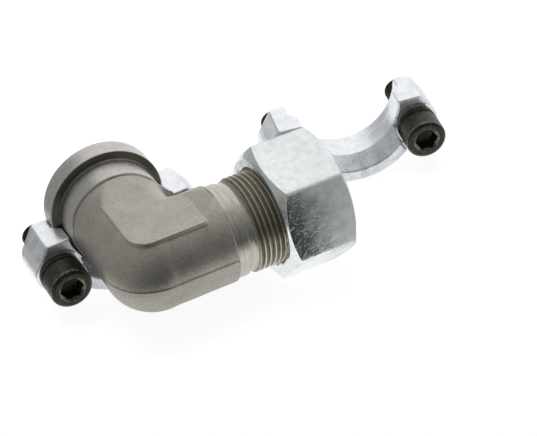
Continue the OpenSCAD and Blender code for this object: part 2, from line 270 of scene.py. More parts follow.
SHOULDER = FLANGE_ARM - HEAD_T
NECK_START = SHOULDER - NECK_L
turn = pi - around

bend = fan_rows(forging_distance, 110)
tube_forged = straight_forging(np.linspace(FAN, FORGED_END - 0.25, 6)[1:], tube_arm_rows)
collar = tube_arm_rows(turned([
    (FORGED_END - 0.25, FORGED_R, 0), (FORGED_END - 0.1, FORGED_R, 0.05), (FORGED_END, COLLAR_R, 0.1),
    (COLLAR_END - 0.4, COLLAR_R, 0.15), (COLLAR_END, RELIEF_R, 0.2), (THREAD_START, RELIEF_R, 0.3),
    (THREAD_START + 0.4, RELIEF_R + 0.4, 0)]))
thread_at = np.arange(THREAD_START + 0.5, MOUTH - 0.4, PITCH / 14)[:, None]
thread_out = thread_radius(thread_at, turn[None], THREAD_START, PITCH, THREAD_R, 1.15)
thread_out = np.minimum(thread_out, RELIEF_R + thread_at - THREAD_START)
thread_out = np.minimum(thread_out, THREAD_R - 1 + MOUTH - thread_at)
thread = tube_arm_rows(np.stack([thread_at + 0 * thread_out, thread_out], -1))
mouth = tube_arm_rows(turned([
    (MOUTH - 0.35, THREAD_R - 0.65, 0), (MOUTH, THREAD_R - 1, 0.15), (MOUTH, MOUTH_R, 0.2),
    (MOUTH - CONE_DEPTH, SOCKET_R, 0.1), (MOUTH - TUBE_STOP, SOCKET_R, 0.2),
    (MOUTH - TUBE_STOP, TUBE_BORE_R, 0.2), (FAN, TUBE_BORE_R, 0)]))
bores = fan_rows(cavity_distance, 24)[::-1]
flange_rows = turned([
    (FAN, PORT_R, 0), (FLANGE_ARM, PORT_R, 0.4), (FLANGE_ARM, GROOVE_R - GROOVE_W, 0.1),
    (FLANGE_ARM - GROOVE_DEPTH, GROOVE_R - GROOVE_W, 0.2), (FLANGE_ARM - GROOVE_DEPTH, GROOVE_R, 0.2),
    (FLANGE_ARM, GROOVE_R, 0.1), (FLANGE_ARM, HEAD_R, 0.55), (SHOULDER, HEAD_R, 0.35),
    (SHOULDER, NECK_R, NECK_FILLET), (NECK_START + 0.25, NECK_R, 0.15), (NECK_START, NECK_R - 0.35, 0.1),
    (NECK_START - 0.1, FORGED_R, 0)])
flange = flange_arm_rows(flange_rows)
flange_forged = straight_forging(np.linspace(NECK_START - 0.1, FAN, 9)[:-1], flange_arm_rows)

body_rows = [bend, tube_forged, collar, thread, mouth, bores, flange, flange_forged]
FORGED, TURNED_HEAD, TURNED_END, THREADED = 0, 1, 2, 3
row_finish = np.repeat([FORGED, FORGED, TURNED_END, THREADED, TURNED_END, TURNED_END, TURNED_HEAD, FORGED],
                       [len(rows) for rows in body_rows])
body_points = from_elbow(np.concatenate(body_rows))


def linear(hex_colour):
    """An sRGB hex colour as the linear red, green, blue and alpha that shaders take."""
    srgb = np.array([int(hex_colour[i:i + 2], 16) for i in (1, 3, 5)]) / 255
    return tuple(np.where(srgb <= 0.04045, srgb / 12.92, ((srgb + 0.055) / 1.055) ** 2.4)) + (1.0,)


def add(tree, kind, inputs=(), stops=(), **settings):
    """Adds one shader node. Settings are its properties. Inputs go to its sockets by name or number,
    each a value or another node's output. Stops are a ramp's (place, hex colour) pairs."""
    made = tree.nodes.new("ShaderNode" + kind)
    for name, value in settings.items():
        setattr(made, name, value)
    for socket, value in dict(inputs).items():
        if isinstance(value, bpy.types.NodeSocket):
            tree.links.new(value, made.inputs[socket])
        else:
            made.inputs[socket].default_value = value
    for i, (place, colour) in enumerate(stops):
        ramp = made.color_ramp.elements
        stop = ramp[i] if i < len(ramp) else ramp.new(place)
        stop.position, stop.color = place, linear(colour)
    return made


def new_finish(name, metallic, **constants):
    """A material with its shader, and the place on the object in millimetres for its patterns."""
    finish = bpy.data.materials.new(name)
    finish.use_nodes = True
    tree = finish.node_tree
    tree.nodes.clear()
    shader = add(tree, "BsdfPrincipled", {"Metallic": metallic, **constants})
    add(tree, "OutputMaterial", {0: shader.outputs[0]})
    place = add(tree, "TexCoord").outputs["Object"]
    millimetres = add(tree, "VectorMath", {0: place, "Scale": 1000.0}, operation="SCALE").outputs[0]
    return finish, tree, shader, millimetres


def link(tree, output, shader, socket):
    """Joins a node's output to one of the shader's sockets."""
    tree.links.new(output, shader.inputs[socket])


# Phosphated forging: steel blasted with coarse grit, then zinc-phosphated and oiled. The grain is a
# warm grey speckle about half a millimetre across over broad cloudy patches, nearly matt.
phosphated_forging, tree, shader, mm = new_finish("phosphated_forging", 0.76)
grain = add(tree, "TexNoise", {"Vector": mm, "Scale": 2.6, "Detail": 4.0, "Roughness": 0.62}).outputs[0]
cloud = add(tree, "TexNoise", {"Vector": mm, "Scale": 0.13, "Detail": 3.0, "Roughness": 0.5}).outputs[0]
speckle = add(tree, "ValToRGB", {0: grain},
              stops=[(0.34, "#9b978e"), (0.5, "#b4b0a8"), (0.66, "#cbc7bf")]).outputs[0]
warmth = add(tree, "ValToRGB", {0: cloud}, stops=[(0.35, "#f3f1ee"), (0.65, "#ffffff")]).outputs[0]
tint = add(tree, "Mix", {0: 1.0, 6: speckle, 7: warmth}, data_type="RGBA", blend_type="MULTIPLY").outputs[2]
height = add(tree, "VectorMath", {0: mm, 1: (sin(LEAN), 0.0, cos(LEAN))}, operation="DOT_PRODUCT").outputs[1]
off_seam = add(tree, "Math", {0: height}, operation="ABSOLUTE").outputs[0]
seam = add(tree, "MapRange", {0: off_seam, 1: 0.12, 2: 0.5, 3: 0.66, 4: 1.0}).outputs[0]
tint = add(tree, "Mix", {0: 1.0, 6: tint, 7: seam}, data_type="RGBA", blend_type="MULTIPLY").outputs[2]
link(tree, tint, shader, "Base Color")
link(tree, add(tree, "MapRange", {0: grain, 1: 0.3, 2: 0.7, 3: 0.36, 4: 0.5}).outputs[0], shader, "Roughness")
grit = add(tree, "Bump", {"Height": grain, "Strength": 0.35, "Distance": 0.00012}).outputs[0]
link(tree, grit, shader, "Normal")


def turned_steel(name, axis, hues, roughness):
    """Steel turned on a lathe and phosphated: fine rings that follow the axis, darker and lighter by how
    the tool cut, over a slow cloud. The real rings lie 0.1 mm apart, and are drawn 0.5 mm apart to show."""
    finish, tree, shader, mm = new_finish(name, 0.92)
    along = add(tree, "VectorMath", {0: mm, 1: axis}, operation="DOT_PRODUCT").outputs[1]
    rings = add(tree, "TexNoise", {"W": along, "Scale": 2.0, "Detail": 3.0}, noise_dimensions="1D").outputs[0]
    cloud = add(tree, "TexNoise", {"Vector": mm, "Scale": 0.5, "Detail": 4.0}).outputs[0]
    mixed = add(tree, "Mix", {0: 0.35, 2: rings, 3: cloud}).outputs[0]
    hue = add(tree, "ValToRGB", {0: mixed}, stops=list(zip((0.36, 0.5, 0.66), hues))).outputs[0]
    link(tree, hue, shader, "Base Color")
    link(tree, add(tree, "MapRange", {0: mixed, 1: 0.35, 2: 0.65, 3: roughness, 4: roughness + 0.12}).outputs[0],
         shader, "Roughness")
    bump = add(tree, "Bump", {"Height": rings, "Strength": 0.2, "Distance": 0.00006}).outputs[0]
    link(tree, bump, shader, "Normal")
    return finish, tree, shader, mm, hue


def darken(tree, shader, hue, places, levels, painted_shade):
    """Multiplies a hue by a grey that follows a distance, as painted shade: full shade at the low level, none at the
    high.
    """
    shade = add(tree, "ValToRGB", {0: places}, stops=list(zip(levels, painted_shade))).outputs[0]
    tint = add(tree, "Mix", {0: 1.0, 6: hue, 7: shade}, data_type="RGBA", blend_type="MULTIPLY").outputs[2]
    link(tree, tint, shader, "Base Color")


TUBE_AXIS = (cos(LEAN), 0.0, -sin(LEAN))
END_HUES = ("#b2aea6", "#c3bfb7", "#d5d1ca")

# Turned head and neck: bare bright rings, with painted shade in the corner behind the head: the base colour
# is darkened over the shoulder's fillet and fades out a few millimetres down the neck.
turned_head, tree, shader, mm, hue = turned_steel("turned_head", (0.0, 1.0, 0.0), ("#b2afac", "#c6c3c0", "#d8d6d3"), 0.3)
# Painted shade behind the head: a grey over the base colour, darkest at the shoulder's fillet.
behind = add(tree, "VectorMath", {0: mm, 1: (0.0, 1.0, 0.0)}, operation="DOT_PRODUCT").outputs[1]
behind = add(tree, "MapRange", {0: behind, 1: -HEAD_T - 4, 2: -HEAD_T + 1}).outputs[0]
darken(tree, shader, hue, behind, (0.2, 0.52, 0.76, 0.8, 0.83), ("#ffffff", "#c4c4bc", "#85857a", "#a3a291", "#ffffff"))

turned_end, *_ = turned_steel("turned_end", TUBE_AXIS, END_HUES, 0.28)

# Cut thread: bright on its crests, with painted shade in the grooves, where the base colour darkens towards the root.
turned_thread, tree, shader, mm, hue = turned_steel("cut_thread", TUBE_AXIS, ("#b4b0a3", "#cbc7ba", "#dedace"), 0.28)
corner = add(tree, "VectorMath", {0: mm, 1: (0.0, FLANGE_ARM, 0.0)}, operation="ADD").outputs[0]
along = add(tree, "VectorMath", {0: corner, 1: TUBE_AXIS}, operation="DOT_PRODUCT").outputs[1]
on_axis = add(tree, "VectorMath", {0: TUBE_AXIS, "Scale": along}, operation="SCALE").outputs[0]
off_axis = add(tree, "VectorMath", {0: corner, 1: on_axis}, operation="DISTANCE").outputs[1]
depth = add(tree, "MapRange", {0: off_axis, 1: THREAD_R - 1.15, 2: THREAD_R}).outputs[0]
darken(tree, shader, hue, depth, (0.0, 0.7, 0.95), ("#b0afa8", "#cfcec6", "#ffffff"))
link(tree, add(tree, "MapRange", {0: depth, 1: 0.7, 2: 1.0, 3: 0.45, 4: 0.28}).outputs[0], shader, "Roughness")

make_piece("elbow_body_forging", body_points, grid_faces(len(row_finish), COLUMNS),
           [phosphated_forging, turned_head, turned_end, turned_thread], "fitting",
           ["elbow_body"], finish_of=np.repeat(row_finish, COLUMNS))


# Face seal: a moulded rubber ring that lies in the head's groove and stands a little out of it.
# It is pressed against the pad when the clamp is pulled tight.
seal_rubber, tree, shader, mm = new_finish("moulded_rubber", 0.0, IOR=1.52)
bloom = add(tree, "TexNoise", {"Vector": mm, "Scale": 1.2, "Detail": 3.0}).outputs[0]
link(tree, add(tree, "ValToRGB", {0: bloom}, stops=[(0.35, "#151515"), (0.7, "#272727")]).outputs[0],
     shader, "Base Color")
link(tree, add(tree, "MapRange", {0: bloom, 1: 0.3, 2: 0.7, 3: 0.5, 4: 0.7}).outputs[0], shader, "Roughness")
nodes["face_seal_ring"].data.materials.clear()
nodes["face_seal_ring"].data.materials.append(seal_rubber)


# Union nut: hexagon steel turned at both ends, tapped, coned inside for the cutting ring, then
# zinc plated and passivated. It is screwed a few turns onto the body's thread.
NUT_FACE_R = 0.475 * NUT_AF
NUT_EDGE_R = 0.5
SEAT_START, SEAT_END, SEAT_R, NUT_HOLE_R, COUNTERSINK = 57.962, 61.412, 16.2, 12.75, 1.4
THREAD_PLAY = 0.12
nut_around = np.linspace(0, 2 * pi, 240, endpoint=False)
nut_around = nut_around + 0.1 * np.sin(6 * nut_around) + radians(NUT_CORNER_TURN)


def hexagon_radius(turn, across_flats, edge_r):
    """Distance from a hexagon's middle to its outline, whose first corner is at turn zero: a flat is half
    the width over the cosine from its middle, and near a corner a round of the edge's radius takes over."""
    off_corner = np.abs((turn + pi / 6) % (pi / 3) - pi / 6)
    flat = across_flats / 2 / np.cos(pi / 6 - off_corner)
    round_at = (across_flats / 2 - edge_r) / cos(pi / 6)
    inside = np.maximum(edge_r ** 2 - (round_at * np.sin(off_corner)) ** 2, 0)
    rounded = round_at * np.cos(off_corner) + np.sqrt(inside)
    on_round = round_at * np.sin(off_corner) < edge_r * sin(pi / 6)
    return np.where(on_round, np.minimum(rounded, flat), flat)


def around_tube_arm(along, out, turn):
    """Points at these distances along and out from the tube arm's axis, turned from Y towards Z."""
    return np.stack([along + 0 * turn, out * np.cos(turn), out * np.sin(turn)], -1)


hex_out = hexagon_radius(nut_around - radians(NUT_CORNER_TURN), NUT_AF, NUT_EDGE_R)
chamfer = (hex_out - NUT_FACE_R) * tan(radians(NUT_CHAMFER))
FLAT = 0 * hex_out
nut_outside = np.stack([np.stack([a + FLAT, r + FLAT, s + FLAT], -1) for a, r, s in [
    (NUT_END - 9.0, NUT_HOLE_R, 0), (NUT_END, NUT_HOLE_R, 0.5), (NUT_END, NUT_FACE_R, 0.25),
    (NUT_END - chamfer, hex_out, 0.16), (NUT_START + chamfer, hex_out, 0.16), (NUT_START, NUT_FACE_R, 0.3),
    (NUT_START, THREAD_R + 0.1 + COUNTERSINK, 0.2), (NUT_START + COUNTERSINK + 0.6, THREAD_R - 0.5, 0)]])
nut_outer_rows = soft_rows(nut_outside)
bore_at = np.arange(NUT_START + COUNTERSINK + 0.7, SEAT_START - 0.7, PITCH / 15)[:, None]
bore_out = thread_radius(bore_at, nut_around[None], THREAD_START, PITCH, THREAD_R, 1.05) + THREAD_PLAY
bore_out = np.maximum(bore_out, THREAD_R + 0.1 + COUNTERSINK - (bore_at - NUT_START))
seat_rows = soft_rows([
    (SEAT_START - 0.6, THREAD_R + THREAD_PLAY, 0), (SEAT_START, THREAD_R + THREAD_PLAY, 0.2),
    (SEAT_START, SEAT_R, 0.15), (SEAT_END, NUT_HOLE_R, 0.1), (NUT_END - 9.0 + 0.01, NUT_HOLE_R, 0)])
nut_points = np.concatenate([
    around_tube_arm(nut_outer_rows[..., 0], nut_outer_rows[..., 1], nut_around),
    around_tube_arm(bore_at + 0 * bore_out, bore_out, nut_around),
    around_tube_arm(seat_rows[:, None, 0], seat_rows[:, None, 1], nut_around)])

# Zinc-plated nut: bright plating over rolled hexagon bar. Where it is clear it is nearly a mirror, and
# where the passivation dried last, low on the screwed-on end, it stays clear. The rest is milky and pale.
# Short nicks in all directions come from tumbling in a basket.
plated_nut, tree, shader, mm = new_finish("zinc_plated_bar", 0.95)
cloud = add(tree, "TexNoise", {"Vector": mm, "Scale": 0.35, "Detail": 5.0, "Roughness": 0.6}).outputs[0]
link(tree, add(tree, "ValToRGB", {0: cloud},
               stops=[(0.34, "#dde6e5"), (0.5, "#e8efee"), (0.66, "#f2f7f6")]).outputs[0], shader, "Base Color")
drained = add(tree, "VectorMath", {0: mm, 1: (0.034, 0.0, 0.012)}, operation="DOT_PRODUCT").outputs[1]
blots = add(tree, "TexNoise", {"Vector": mm, "Scale": 0.11, "Detail": 4.0, "Roughness": 0.6}).outputs[0]
drained = add(tree, "Math", {0: blots, 1: 0.7, 2: drained}, operation="MULTIPLY_ADD").outputs[0]
milk = add(tree, "MapRange", {0: drained, 1: 1.85, 2: 2.8}, interpolation_type="SMOOTHSTEP").outputs[0]
smooth = add(tree, "MapRange", {0: milk, 3: 0.14, 4: 0.45}).outputs[0]
clear = add(tree, "MapRange", {0: milk, 3: 1.0, 4: 0.56}).outputs[0]


def nicks(tree, mm, cell, half_width, reach):
    """Short straight nicks, one in each cell of a random lattice: a point is on a nick where it lies within
    the half width of the plane through the cell's point across a random direction, and within reach."""
    lattice = add(tree, "TexVoronoi", {"Vector": mm, "Scale": 1 / cell}).outputs
    across = add(tree, "VectorMath", {0: lattice["Color"], 1: (0.5, 0.5, 0.5)}, operation="SUBTRACT").outputs[0]
    across = add(tree, "VectorMath", {0: across}, operation="NORMALIZE").outputs[0]
    offset = add(tree, "VectorMath", {0: mm, 1: lattice["Position"]}, operation="SUBTRACT").outputs[0]
    aside = add(tree, "VectorMath", {0: across, 1: offset}, operation="DOT_PRODUCT").outputs[1]
    aside = add(tree, "Math", {0: aside}, operation="ABSOLUTE").outputs[0]
    away = add(tree, "VectorMath", {0: offset}, operation="LENGTH").outputs[1]
    near = add(tree, "MapRange", {0: aside, 1: half_width, 2: 2 * half_width, 3: 1.0, 4: 0.0}).outputs[0]
    fade = add(tree, "MapRange", {0: away, 1: 0.6 * reach, 2: reach, 3: 1.0, 4: 0.0}).outputs[0]
    return add(tree, "Math", {0: near, 1: fade}, operation="MULTIPLY").outputs[0]


marks = nicks(tree, mm, 2.4, 0.022, 1.3)
for cell, half_width, reach in ((1.4, 0.02, 0.6), (4.6, 0.03, 2.7)):
    marks = add(tree, "Math", {0: marks, 1: nicks(tree, mm, cell, half_width, reach)},
                operation="MAXIMUM").outputs[0]
clear = add(tree, "Math", {0: marks, 1: -0.16, 2: clear}, operation="MULTIPLY_ADD").outputs[0]
smooth = add(tree, "Math", {0: marks, 1: 0.2, 2: smooth}, operation="MULTIPLY_ADD").outputs[0]
link(tree, clear, shader, "Metallic")
link(tree, smooth, shader, "Roughness")
waves = add(tree, "TexNoise", {"Vector": mm, "Scale": 0.25, "Detail": 3.0, "Roughness": 0.5}).outputs[0]
dips = add(tree, "Bump", {"Height": waves, "Strength": 1.0, "Distance": 0.00012}).outputs[0]
nicked = add(tree, "Bump", {"Height": marks, "Strength": 0.4, "Distance": 0.00004, "Normal": dips}).outputs[0]
link(tree, nicked, shader, "Normal")
make_piece("union_nut_threaded", from_elbow(nut_points), grid_faces(len(nut_points), len(nut_around)),
           [plated_nut], "nut", ["union_nut"])


# Cutting ring: a hardened steel ring inside the nut, ground bright on its cone. The nut pushes it
# along the tube until its front edge bites.
ground_ring, *_ = turned_steel("ground_steel", TUBE_AXIS, ("#85817a", "#a19d94", "#bcb8ae"), 0.24)
nodes["cutting_ring"].data.materials.clear()
nodes["cutting_ring"].data.materials.append(ground_ring)


# Clamp halves: two equal steel forgings, each half a split flange clamp, with the bore, the head's
# recess and the screw seats machined, then bright zinc plated. One lies under the flange head with its
# screws in it, the other lies apart behind the nut.
CLAMP_R, EAR_T, EAR_R, EAR_REACH, HUB_H, THROAT_R = 28.9, 16.8, 9.1, 28.8, 6.5, 23.3
SCREW_X, SCREW_DEPTH, SPLIT, HOLE_R, SPOT_R = 26.2, 13.1, 0.5, 5.5, 9.2
CLAMP_BORE_R, RECESS_R, RECESS_START, RECESS_BEVEL = 19.4, 22.425, 9.2, 1.6
HUB_FROM, HUB_R = radians(34), 28.6


def half_outline(side, depth):
    """Distance to a half's outline in the plane across the pipe: the ring, the round about the screw, the
    straight flank from it to the ear's corner, and the straight run from it to the ring."""
    ring = np.hypot(side, depth) - CLAMP_R
    ear = np.hypot(side - SCREW_X, depth - SCREW_DEPTH) - EAR_R
    reach = np.array([EAR_REACH - SCREW_X, SPLIT - SCREW_DEPTH])
    flank_turn = atan2(reach[1], reach[0]) + np.arccos(EAR_R / hypot(*reach))
    flank = (side - SCREW_X) * cos(flank_turn) + (depth - SCREW_DEPTH) * sin(flank_turn) - EAR_R
    past_touch = (side - SCREW_X) * -sin(flank_turn) + (depth - SCREW_DEPTH) * cos(flank_turn)
    flank = np.maximum(np.maximum(flank, past_touch), np.maximum(-depth, depth - SCREW_DEPTH))
    span = hypot(SCREW_X, SCREW_DEPTH)
    run_turn = atan2(SCREW_DEPTH, SCREW_X) + np.arccos((CLAMP_R - EAR_R) / span)
    run = side * cos(run_turn) + depth * sin(run_turn) - CLAMP_R
    past_screw = (side - SCREW_X) * sin(run_turn) - (depth - SCREW_DEPTH) * cos(run_turn)
    before_ring = depth * cos(run_turn) - side * sin(run_turn)
    run = np.maximum(run, np.maximum(before_ring, past_screw))
    return np.minimum(np.minimum(ring, ear), np.minimum(flank, run))


def clamp_distance(p):
    """Distance to a clamp half in its own frame: X along the ears, Y along the pipe from the ears' rear
    face, Z up. The plate and the hub behind it are joined, then the split, the turned bore with its
    flared throat and its recess, the screw holes and their seats are taken away, all with soft edges."""
    side, along, depth = np.abs(p[..., 0]), p[..., 1], -p[..., 2]
    out = np.hypot(side, depth)
    plate = smooth_most(half_outline(side, depth), np.maximum(-along, along - EAR_T), 1.6)
    hub_side = side * sin(HUB_FROM) - depth * cos(HUB_FROM)
    hub_out = out - HUB_R + 0.6 * np.clip(-along / HUB_H, 0, 1)
    hub = smooth_most(smooth_most(hub_out, hub_side, 1.2), np.maximum(-along - HUB_H, along - 1), 1.4)
    solid = smooth_least(plate, hub, 0.8)
    flare = (THROAT_R - CLAMP_BORE_R) / (HUB_H + 0.5)
    bore = CLAMP_BORE_R + flare * np.maximum(0.5 - along, 0)
    bore = np.maximum(bore, np.minimum(CLAMP_BORE_R + along - RECESS_START + RECESS_BEVEL,
                                       np.where(along > RECESS_START, RECESS_R, CLAMP_BORE_R + RECESS_BEVEL)))
    bore = np.maximum(bore, RECESS_R + along - EAR_T + 0.5)
    solid = smooth_most(solid, (bore - out) * 0.85, 0.5)
    solid = smooth_most(solid, SPLIT - depth, 0.7)
    off_screw = np.hypot(side - SCREW_X, depth - SCREW_DEPTH)
    solid = smooth_most(solid, HOLE_R - off_screw, 0.4)
    return smooth_most(solid, np.minimum(SPOT_R - off_screw, -along), 0.5)


def level_skin(distance, low, high, step):
    """The closed surface where a distance is zero, found on a lattice of cubes: each cube whose corners
    differ in sign gets one point, each lattice edge that crosses gets one face between the four cubes
    round it, and four Newton steps along the gradient bring the points onto the surface."""
    axes = [np.arange(a, b + step, step) for a, b in zip(low, high)]
    lattice = np.stack(np.meshgrid(*axes, indexing="ij"), -1)
    inside = distance(lattice) < 0
    corners = sum(inside[i:i - 1 or None, j:j - 1 or None, k:k - 1 or None].astype(int)
                  for i in (0, 1) for j in (0, 1) for k in (0, 1))
    mixed = (corners > 0) & (corners < 8)
    index = np.full(mixed.shape, -1)
    index[mixed] = np.arange(mixed.sum())
    points = lattice[:-1, :-1, :-1][mixed] + step / 2
    faces = []
    for axis in range(3):
        view, cells = np.moveaxis(inside, axis, 0), np.moveaxis(index, axis, 0)
        here, there = view[:-1, 1:-1, 1:-1], view[1:, 1:-1, 1:-1]
        ring = [cells[:, :-1, :-1], cells[:, 1:, :-1], cells[:, 1:, 1:], cells[:, :-1, 1:]]
        for crossing, order in ((here & ~there, (0, 1, 2, 3)), (~here & there, (3, 2, 1, 0))):
            quads = np.stack([ring[i][crossing] for i in order], -1)
            faces.append(quads if axis != 1 else quads[:, ::-1])
    for _ in range(5):
        value, slope = distance(points), gradient(distance, points)
        move = slope * (value / np.maximum((slope ** 2).sum(-1), 0.2))[:, None]
        points = points - np.clip(move, -0.6 * step, 0.6 * step)
    return points, np.concatenate(faces)


def gradient(distance, points, h=0.02):
    """Slope of a distance by central differences."""
    steps = np.eye(3) * h
    return np.stack([distance(points + s) - distance(points - s) for s in steps], -1) / (2 * h)


def zinc_plate(name, hues, roughness, grain):
    """Bright zinc plate, blue-passivated: nearly white with a cold tint, with the slow waves of the
    forging under it, and a finer grain where the grain, a bump's height in metres, isn't zero."""
    finish, tree, shader, mm = new_finish(name, 0.8)
    waves = add(tree, "TexNoise", {"Vector": mm, "Scale": 0.22, "Detail": 4.0, "Roughness": 0.6}).outputs[0]
    pits = add(tree, "TexNoise", {"Vector": mm, "Scale": 1.6, "Detail": 3.0, "Roughness": 0.6}).outputs[0]
    mixed = add(tree, "Mix", {0: 0.5 if grain else 0.0, 2: waves, 3: pits}).outputs[0]
    link(tree, add(tree, "ValToRGB", {0: mixed}, stops=list(zip((0.36, 0.5, 0.62), hues))).outputs[0],
         shader, "Base Color")
    link(tree, add(tree, "MapRange", {0: mixed, 1: 0.35, 2: 0.65, 3: roughness, 4: roughness + 0.12}).outputs[0],
         shader, "Roughness")
    low = add(tree, "Bump", {"Height": waves, "Strength": 0.6, "Distance": 0.0002}).outputs[0]
    rough = add(tree, "Bump", {"Height": pits, "Strength": 0.5, "Distance": grain, "Normal": low}).outputs[0]
    link(tree, rough, shader, "Normal")
    return finish


# Zinc over machined steel is even and bright. Zinc over the forged skin shows the skin's pits, about half a
# millimetre across, as a grey speckle.
machined_zinc = zinc_plate("zinc_on_machined_steel", ("#e4e8ef", "#f0f3f8", "#fafbfe"), 0.24, 0.0)
forged_zinc = zinc_plate("zinc_on_forging", ("#bcc1c7", "#e3e7ec", "#f5f7fa"), 0.34, 0.00008)


def is_machined(p):
    """Whether a place on a half was machined: the split, the front face, the screw seats, and the bore with
    its recess, but not the throat that flares behind them."""
    side, along, depth = np.abs(p[..., 0]), p[..., 1], -p[..., 2]
    out, off_screw = np.hypot(side, depth), np.hypot(side - SCREW_X, depth - SCREW_DEPTH)
    in_bore = (out < RECESS_R + 0.3) & (along > 0.3)
    return in_bore | (depth < SPLIT + 0.25) | (along > EAR_T - 0.3) | (off_screw < SPOT_R)


LOOSE_TURN = radians(-14)
LOOSE_AT = (NUT_END * cos(LEAN) + 30.2, -FLANGE_ARM + NUT_AF / sqrt(3) + 5.8)
SEATED_AT = (0.0, -0.4 - EAR_T)


def from_half(points, at, turn):
    """A clamp half's frame to the row frame: turned on the table, then moved."""
    x, y = points[..., 0], points[..., 1]
    return np.stack([at[0] + cos(turn) * x - sin(turn) * y,
                     at[1] + sin(turn) * x + cos(turn) * y, points[..., 2]], -1)


halves = {"seated": (SEATED_AT, 0.0), "loose": (LOOSE_AT, LOOSE_TURN)}
half_points, half_faces = level_skin(clamp_distance, (-36.6, -7.3, -30), (36.6, 17.8, 0.6), 0.45)
half_normals = gradient(clamp_distance, half_points)
half_normals /= np.linalg.norm(half_normals, axis=-1, keepdims=True)
for side, (at, turned_by) in halves.items():
    make_piece(side + "_clamp_forging", from_half(half_points, at, turned_by), half_faces,
               [forged_zinc, machined_zinc], "fitting", [side + "_clamp_half"],
               finish_of=is_machined(half_points[half_faces].mean(1)),
               normals=from_half(half_normals, (0, 0), turned_by))


# Socket screws: cold-headed and rolled M10 by 30 screws, hardened and black-oxided in hot salts.
# One stands in each ear with its head on a spring washer and its point past the sealing face.
SCREW_R, SCREW_L, SCREW_HEAD_R, SCREW_HEAD_H, SCREW_PITCH = 4.95, 30.0, 8.0, 10.0, 1.5
SOCKET_AF, SOCKET_DEPTH, SOCKET_RIM_R, WASHER_T, HEAD_EDGE, HEAD_EDGE_H = 8.0, 5.0, 5.1, 2.2, 1.3, 0.9
screw_around = np.linspace(0, 2 * pi, 96, endpoint=False)
socket_out = hexagon_radius(screw_around, SOCKET_AF, 0.3)
HEAD_TOP = -WASHER_T - SCREW_HEAD_H
SCREW_END = SCREW_L - WASHER_T
LEVEL = 0 * screw_around
countersink = HEAD_TOP + (SOCKET_RIM_R - socket_out) * tan(radians(35))
screw_head_rows = soft_rows(np.stack([np.stack([a + LEVEL, r + LEVEL, s + LEVEL], -1) for a, r, s in [
    (HEAD_TOP + SOCKET_DEPTH + 1.2, 0, 0), (HEAD_TOP + SOCKET_DEPTH, socket_out - 0.15, 0.1),
    (countersink, socket_out, 0.06), (HEAD_TOP, SOCKET_RIM_R, 0.1),
    (HEAD_TOP, SCREW_HEAD_R - HEAD_EDGE, 0.3), (HEAD_TOP + HEAD_EDGE_H, SCREW_HEAD_R, 0.4),
    (-WASHER_T - 0.9, SCREW_HEAD_R, 0.3), (-WASHER_T, SCREW_HEAD_R - 0.9, 0.2), (-WASHER_T, SCREW_R, 0.3),
    (0.8, SCREW_R, 0)]]))
shank_at = np.arange(1.0, SCREW_END - 0.6, SCREW_PITCH / 12)[:, None]
shank_out = thread_radius(shank_at, screw_around[None], 0, SCREW_PITCH, SCREW_R, 0.86)
shank_out = np.maximum(shank_out, SCREW_R - 0.5 * np.maximum(shank_at - 1, 0))
shank_out = np.minimum(shank_out, SCREW_R - 1.1 + (SCREW_END - shank_at))
screw_tip_rows = soft_rows([(SCREW_END - 0.5, SCREW_R - 0.95, 0), (SCREW_END, SCREW_R - 1.3, 0.2),
                            (SCREW_END, 0, 0)])


def along_screw(along, out):
    """Points about a screw's axis, which runs along Y: the turn is from X down, as a right-hand thread's."""
    return np.stack([out * np.cos(screw_around), along + 0 * screw_around, -out * np.sin(screw_around)], -1)


screw_points = np.concatenate([
    along_screw(screw_head_rows[..., 0], screw_head_rows[..., 1]),
    along_screw(shank_at + 0 * shank_out, shank_out),
    along_screw(screw_tip_rows[:, None, 0], screw_tip_rows[:, None, 1])])
screw_faces = grid_faces(len(screw_points), len(screw_around))

# Black oxide: a magnetite layer a micron thick, oiled. Almost black with a brown-green cast, satin,
# with paler rubbed places.
black_oxide, tree, shader, mm = new_finish("black_oxide", 0.6)
rub = add(tree, "TexNoise", {"Vector": mm, "Scale": 0.5, "Detail": 5.0, "Roughness": 0.6}).outputs[0]
link(tree, add(tree, "ValToRGB", {0: rub},
               stops=[(0.38, "#2a2a23"), (0.52, "#36362e"), (0.7, "#504f45")]).outputs[0], shader, "Base Color")
link(tree, add(tree, "MapRange", {0: rub, 1: 0.35, 2: 0.65, 3: 0.34, 4: 0.5}).outputs[0], shader, "Roughness")
link(tree, add(tree, "Bump", {"Height": rub, "Strength": 0.15, "Distance": 0.0001}).outputs[0],
     shader, "Normal")

# Oxide with painted sheen: the countersink round the socket and the head's edge take a lighter grey base
# colour as a painted sheen, and are a little more metallic and smoother.
oxide_with_painted_sheen, tree, shader, mm = new_finish("oxide_with_painted_sheen", 0.8)
sheen_mottle = add(tree, "TexNoise", {"Vector": mm, "Scale": 0.9, "Detail": 4.0, "Roughness": 0.6}).outputs[0]
link(tree, add(tree, "ValToRGB", {0: sheen_mottle}, stops=[(0.38, "#45453c"), (0.6, "#85837a")]).outputs[0],
     shader, "Base Color")
link(tree, add(tree, "MapRange", {0: sheen_mottle, 1: 0.35, 2: 0.65, 3: 0.3, 4: 0.45}).outputs[0], shader, "Roughness")
screw_rows = np.arange(len(screw_points))
# Rows of the countersink up to the socket's rim, and of the head's edge, which take the painted sheen.
painted_sheen_rows = ((screw_rows >= 9) & (screw_rows < 20)) | ((screw_rows >= 30) & (screw_rows < 34))
for side, (at, turned_by) in halves.items():
    for hand, sign in (("left", -1), ("right", 1)):
        place = screw_points + np.array([sign * SCREW_X, 0, -SCREW_DEPTH])
        make_piece(f"{side}_{hand}_socket_screw", from_half(place, at, turned_by),
                   screw_faces, [black_oxide, oxide_with_painted_sheen], "fitting",
                   [f"{side}_screw_{hand}"], finish_of=np.repeat(painted_sheen_rows, len(screw_around)))


